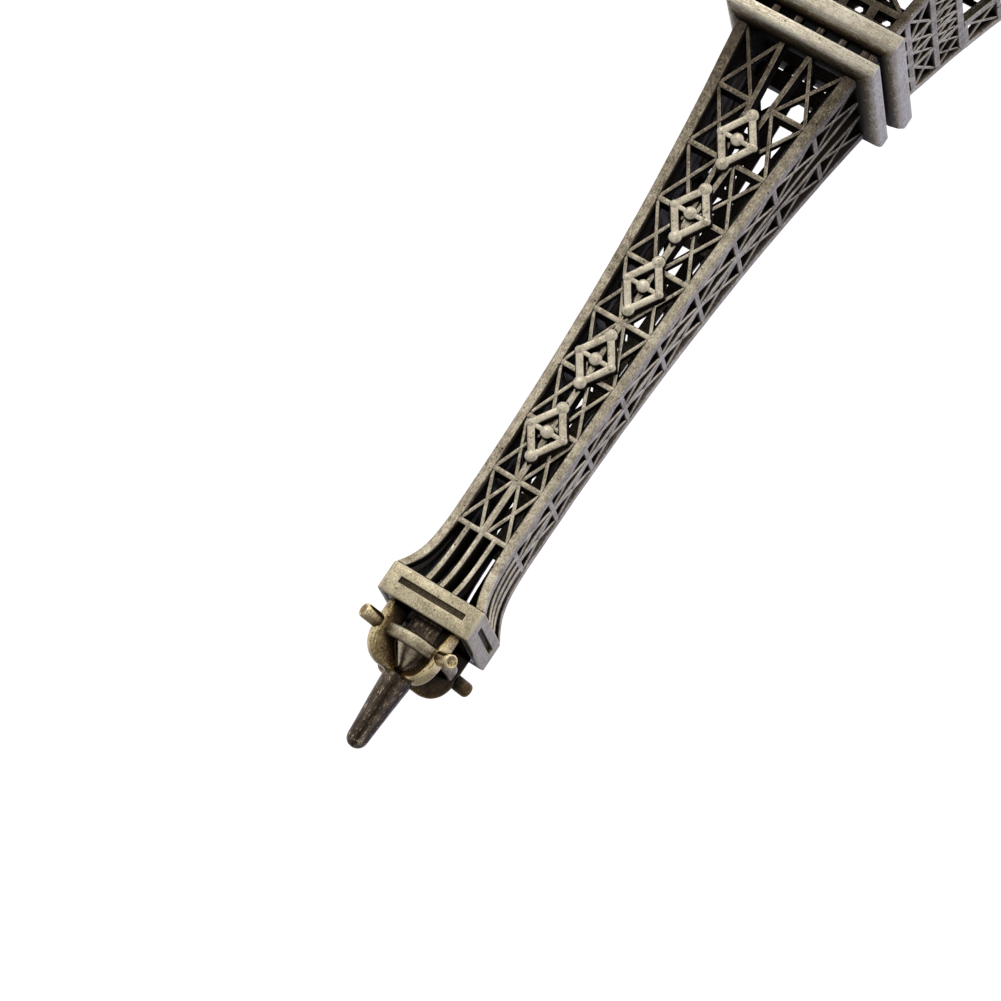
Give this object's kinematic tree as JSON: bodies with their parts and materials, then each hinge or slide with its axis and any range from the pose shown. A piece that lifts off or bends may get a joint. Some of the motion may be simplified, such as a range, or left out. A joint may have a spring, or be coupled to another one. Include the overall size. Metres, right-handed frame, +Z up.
{
  "type": "miniature lattice tower",
  "caption": "Free-standing cast-metal miniature of an open lattice tower: splayed legs and arches, square floors, tapering braced shaft with raised ornaments, gallery box and rounded mast.",
  "frame": {"origin": "on the surface the tower stands on, under the middle of its four feet", "axes": "+Z up the mast, -Y towards the face with the raised ornaments, +X to the right of that face"},
  "size_m": [0.0972, 0.0972, 0.25],
  "materials": {
    "brass": "antique brass plating on fine-grained cast zinc, rubbed bright on the raised faces and dark in the openings",
    "floor_brass": "the same antique brass on the floor slabs and feet, darker on their sloping tops",
    "dark_bronze": "dark bronze patina, glossy, with small bright worn specks",
    "gilt_bronze": "golden brown bronze, half glossy, bright along worn edges"
  },
  "bodies": {
    "root": {"foot_front_left": "floor_brass", "foot_front_right": "floor_brass", "foot_back_right": "floor_brass", "foot_back_left": "floor_brass", "lower_leg_front_left": "brass", "lower_leg_front_right": "brass", "lower_leg_back_right": "brass", "lower_leg_back_left": "brass", "arch_front": "brass", "arch_right": "brass", "arch_back": "brass", "arch_left": "brass", "first_floor_lower_slab": "floor_brass", "first_floor_upper_slab": "floor_brass", "first_floor_gallery_front": "dark_bronze", "first_floor_gallery_right": "dark_bronze", "first_floor_gallery_back": "dark_bronze", "first_floor_gallery_left": "dark_bronze", "middle_leg_front_left": "brass", "middle_leg_front_right": "brass", "middle_leg_back_right": "brass", "middle_leg_back_left": "brass", "middle_band_front": "brass", "middle_band_right": "brass", "middle_band_back": "brass", "middle_band_left": "brass", "second_floor_lower_slab": "floor_brass", "second_floor_upper_slab": "floor_brass", "second_floor_gallery_front": "dark_bronze", "second_floor_gallery_right": "dark_bronze", "second_floor_gallery_back": "dark_bronze", "second_floor_gallery_left": "dark_bronze", "shaft_panel_front": "brass", "shaft_panel_right": "brass", "shaft_panel_back": "brass", "shaft_panel_left": "brass", "ornament_1": "brass", "ornament_2": "brass", "ornament_3": "brass", "ornament_4": "brass", "ornament_5": "brass", "gallery_box": "brass", "gallery_deck": "dark_bronze", "cupola_rib_front_left": "gilt_bronze", "cupola_rib_front_right": "gilt_bronze", "cupola_rib_back_right": "gilt_bronze", "cupola_rib_back_left": "gilt_bronze", "cupola_ring": "brass", "cupola_drum": "dark_bronze", "beacon_front_left": "gilt_bronze", "beacon_front_right": "gilt_bronze", "beacon_back_right": "gilt_bronze", "beacon_back_left": "gilt_bronze", "antenna_mast": "dark_bronze"}
  },
  "joints": []
}
